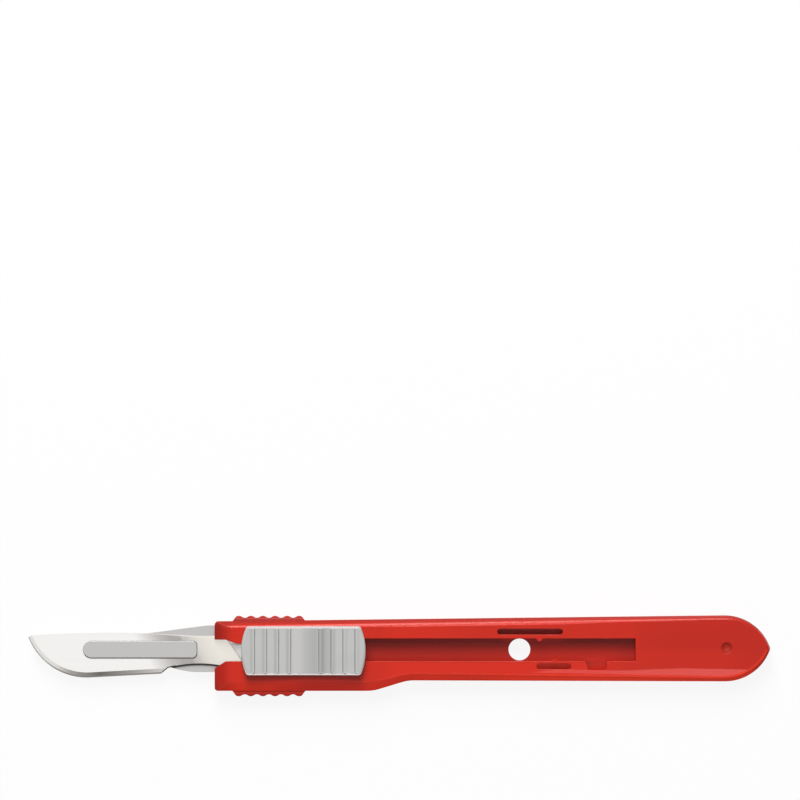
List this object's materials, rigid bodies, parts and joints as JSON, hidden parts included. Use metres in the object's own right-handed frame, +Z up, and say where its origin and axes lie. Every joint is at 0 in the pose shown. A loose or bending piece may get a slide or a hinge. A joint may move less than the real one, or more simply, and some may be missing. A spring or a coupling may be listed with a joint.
{
  "type": "disposable scalpel",
  "caption": "Disposable scalpel with a moulded handle, a thumb slide that pushes a curved steel blade out of the nose and draws it back in, a slotted front and finger grips.",
  "frame": {"origin": "centre of the bounding box's bottom face, on the flat back that the scalpel lies on, with the blade out", "axes": "+X from the blade's tip towards the handle's tail, +Y towards the blade's blunt back, +Z up out of the front with the thumb slide"},
  "size_m": [0.1562, 0.017, 0.0081],
  "materials": {
    "handle_plastic": "satin",
    "slide_plastic": "satin",
    "blade_steel": "polished"
  },
  "bodies": {
    "grip": {"handle": "handle_plastic"},
    "slide": {"blade_carrier": "slide_plastic", "blade": "blade_steel"}
  },
  "joints": [
    {"name": "blade_slide", "type": "slide", "parent": "grip", "child": "slide", "axis": [1, 0, 0], "range_m": [0, 0.0574]}
  ]
}
